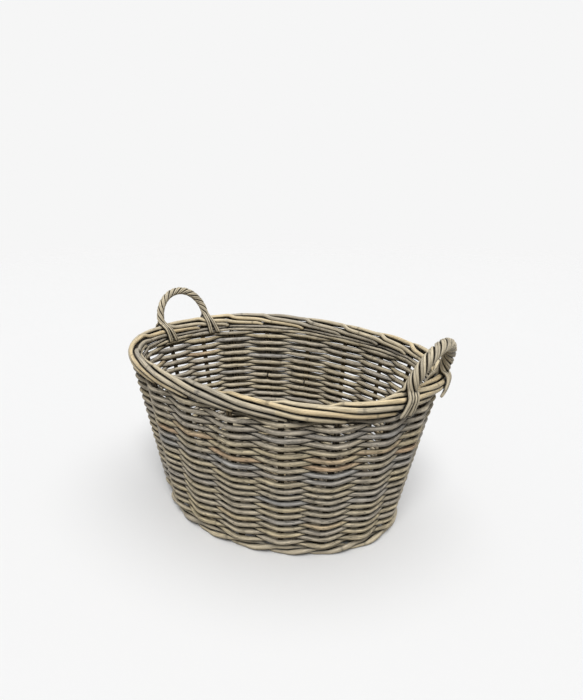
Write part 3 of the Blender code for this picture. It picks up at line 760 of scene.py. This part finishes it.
# The way of one rod from end to end. Strand None is the hoop.
def handleRoute(bow, strand, twin):
    footZ = basket["height"] + handle["lift"]
    lean = math.radians(bow["lean"])
    first = Vector(wallPlace(bow["share"] - bow["leg"] / gaugePerimeter, footZ, 0))
    last = Vector(wallPlace(bow["share"] + bow["leg"] / gaugePerimeter, footZ, 0))
    centre = (first + last) / 2
    halfSpan = (last - first).length / 2
    across = (last - first).normalized()
    outward = outwardAt(bow["share"], footZ)
    up = Vector((outward[0] * math.sin(lean), outward[1] * math.sin(lean), math.cos(lean)))
    facing = across.cross(up)
    strandLay = math.pi / 4 + math.pi / 2 * (strand or 0)
    twinTurn = math.asin(handle["twin"] * bow["rod"] / bow["ring"])
    ring = 0 if strand is None else bow["ring"]
    route = []
    steps = handle["turns"] * handle["stepsPerTurn"]
    for step in range(steps + 1):
        turn = math.pi * step / steps
        slope = (bow["rise"] * math.cos(turn), halfSpan * math.sin(turn))
        run = math.hypot(*slope)
        normal = up * (slope[1] / run) - across * (slope[0] / run)
        lay = strandLay + twin * twinTurn + 2 * math.pi * handle["turns"] * step / steps
        route.append(tuple(centre - across * halfSpan * math.cos(turn) + up * bow["rise"] * math.sin(turn)
                           + ring * (math.cos(lay) * facing + math.sin(lay) * normal)))
    if strand is None:
        return [first - Vector((0, 0, borderHalfHeight))] + route + [last - Vector((0, 0, borderHalfHeight))]
    outSign = 1 if math.cos(strandLay) > 0 else -1
    outerSign = 1 if math.sin(strandLay) > 0 else -1
    startSide = bow["rope"] * math.sin(math.pi / 4)
    turned = twin * outSign
    head = handleTail(bow, -bow["leg"], outSign, -outerSign, startSide, -turned)
    tail = handleTail(bow, bow["leg"], outSign, outerSign, startSide, turned)
    return head[::-1] + route + tail


def makeHandles():
    for side, bow in (("right", rightHandle), ("left", leftHandle)):
        for strand in range(handle["strands"]):
            for twin, letter in ((-1, "A"), (1, "B")):
                route = soften(handleRoute(bow, strand, twin), handle["spacing"], handle["soften"])
                makeRod(f"{side}HandleStrand{strand + 1}{letter}", f"{side}_handle_strand_{strand + 1}",
                        route, bow["rod"], handleRattan, handle["look"])
        route = soften(handleRoute(bow, None, 0), handle["hoopSpacing"], handle["soften"])
        makeRod(f"{side}HandleHoop", f"{side}_handle_strand_1", route, bow["hoop"],
                stakeRattan, handle["look"])


makeHandles()
print("handles twisted")


# Writes on every vertex how close other rods are, for the painted shade in the creases.
def paintCreaseShade():
    cores = kdtree.KDTree(len(rodCores))
    for index, (place, radius) in enumerate(rodCores):
        cores.insert(place, index)
    cores.balance()
    for rod in rods:
        vertices = rod.data.vertices
        places = np.empty(len(vertices) * 3)
        normals = np.empty(len(vertices) * 3)
        vertices.foreach_get("co", places)
        vertices.foreach_get("normal", normals)
        bare = np.zeros(len(vertices))
        for reach in creases["reaches"]:
            for vertex, sample in enumerate((places + normals * reach).reshape(-1, 3).tolist()):
                found, index, distance = cores.find(sample)
                bare[vertex] += min(1, max(0, (distance - rodCores[index][1]) / reach))
        creaseShade = rod.data.attributes.new("creaseShade", "FLOAT", "POINT")
        creaseShade.data.foreach_set("value", 1 - bare / len(creases["reaches"]))


# Paints shade into the colour of every rod where other rods lie close.
paintCreaseShade()
print("creases darkened")

# Floor, light and camera. A sun has a name, a direction, a strength and a spread in degrees.
studio = {
    "background": "F6F6F6", "floor": "F1F1F1", "floorBounce": "6E6B66", "floorRadius": 30, "floorDrop": 0.0005,
    "fadeFrom": 1.5, "fadeTo": 4.0, "paperRough": 0.9, "paperGloss": 0.1,
    "fill": 0.17, "fillColour": (0.98, 0.99, 1.0, 1),
    "suns": (("topLight", (-0.10, -0.07, -1.0), 1.15, 60), ("frontLight", (-0.55, 0.59, -1.0), 2.15, 28)),
    "sunHeight": 2, "cameraPlace": (0.7421, -0.7502, 0.6072), "cameraTarget": (0, 0, 0.15),
    "lens": 31.10, "shift": (0.0174, 0.1021), "clipStart": 0.01,
}


# 1 for what the camera sees, also in a reflection or through glass, and 0 for what lights the basket.
def seenPart(tree):
    rays = addNode(tree, "ShaderNodeLightPath")
    seen = rays.outputs["Is Camera Ray"]
    for kind in ("Is Glossy Ray", "Is Transmission Ray"):
        seen = addNode(tree, "ShaderNodeMath", operation="MAXIMUM",
                       links={0: seen, 1: rays.outputs[kind]}).outputs["Value"]
    return seen


# Matte paper, pale to the eye. It fades out into the background, so no horizon shows.
def layFloor():
    bpy.ops.object.select_all(action="DESELECT")
    bpy.ops.mesh.primitive_circle_add(vertices=64, radius=studio["floorRadius"], fill_type="NGON",
                                      location=(0, 0, -studio["floorDrop"]))
    floor = bpy.context.object
    floor.name = "floor"
    paper = bpy.data.materials.new("matteFloorPaper")
    paper.use_nodes = True
    tree = paper.node_tree
    shader = tree.nodes["Principled BSDF"]
    shader.inputs["Roughness"].default_value = studio["paperRough"]
    shader.inputs["Specular IOR Level"].default_value = studio["paperGloss"]
    white = addNode(tree, "ShaderNodeValToRGB", links={"Fac": seenPart(tree)})
    setRamp(white, ((0.0, studio["floorBounce"]), (1.0, studio["floor"])))
    tree.links.new(white.outputs["Color"], shader.inputs["Base Color"])
    place = addNode(tree, "ShaderNodeTexCoord")
    reach = addNode(tree, "ShaderNodeVectorMath", operation="LENGTH", links={0: place.outputs["Object"]})
    fade = addNode(tree, "ShaderNodeMapRange", {"From Min": studio["fadeFrom"], "From Max": studio["fadeTo"],
                                                "To Min": 1.0, "To Max": 0.0}, {"Value": reach.outputs["Value"]})
    clear = addNode(tree, "ShaderNodeBsdfTransparent")
    seenFloor = addNode(tree, "ShaderNodeMixShader", links={0: fade.outputs["Result"], 1: clear.outputs["BSDF"],
                                                            2: shader.outputs["BSDF"]})
    tree.links.new(seenFloor.outputs["Shader"], tree.nodes["Material Output"].inputs["Surface"])
    floor.data.materials.append(paper)


def setLights():
    world = bpy.data.worlds.new("studio")
    bpy.context.scene.world = world
    world.use_nodes = True
    tree = world.node_tree
    tree.nodes.clear()
    soft = addNode(tree, "ShaderNodeBackground", {"Color": studio["fillColour"], "Strength": studio["fill"]})
    paperWhite = addNode(tree, "ShaderNodeBackground", {"Color": hexColour(studio["background"]), "Strength": 1.0})
    mix = addNode(tree, "ShaderNodeMixShader", links={0: seenPart(tree), 1: soft.outputs["Background"],
                                                      2: paperWhite.outputs["Background"]})
    addNode(tree, "ShaderNodeOutputWorld", links={"Surface": mix.outputs["Shader"]})
    for name, direction, strength, spread in studio["suns"]:
        bpy.ops.object.light_add(type="SUN", location=(0, 0, studio["sunHeight"]))
        lamp = bpy.context.object
        lamp.name = name
        lamp.data.energy = strength
        lamp.data.angle = math.radians(spread)
        lamp.rotation_euler = Vector(direction).to_track_quat("-Z", "Y").to_euler()


def setCamera():
    bpy.ops.object.camera_add()
    camera = bpy.context.object
    place = Vector(studio["cameraPlace"]) + Vector((middleShift, 0, 0))
    target = Vector(studio["cameraTarget"]) + Vector((middleShift, 0, 0))
    camera.location = place
    camera.rotation_euler = (target - place).to_track_quat("-Z", "Y").to_euler()
    camera.data.lens = studio["lens"]
    camera.data.shift_x, camera.data.shift_y = studio["shift"]
    camera.data.clip_start = studio["clipStart"]
    bpy.context.scene.camera = camera
    bpy.context.scene.view_settings.view_transform = "Standard"


layFloor()
setLights()
setCamera()
print("floor, light and camera set")
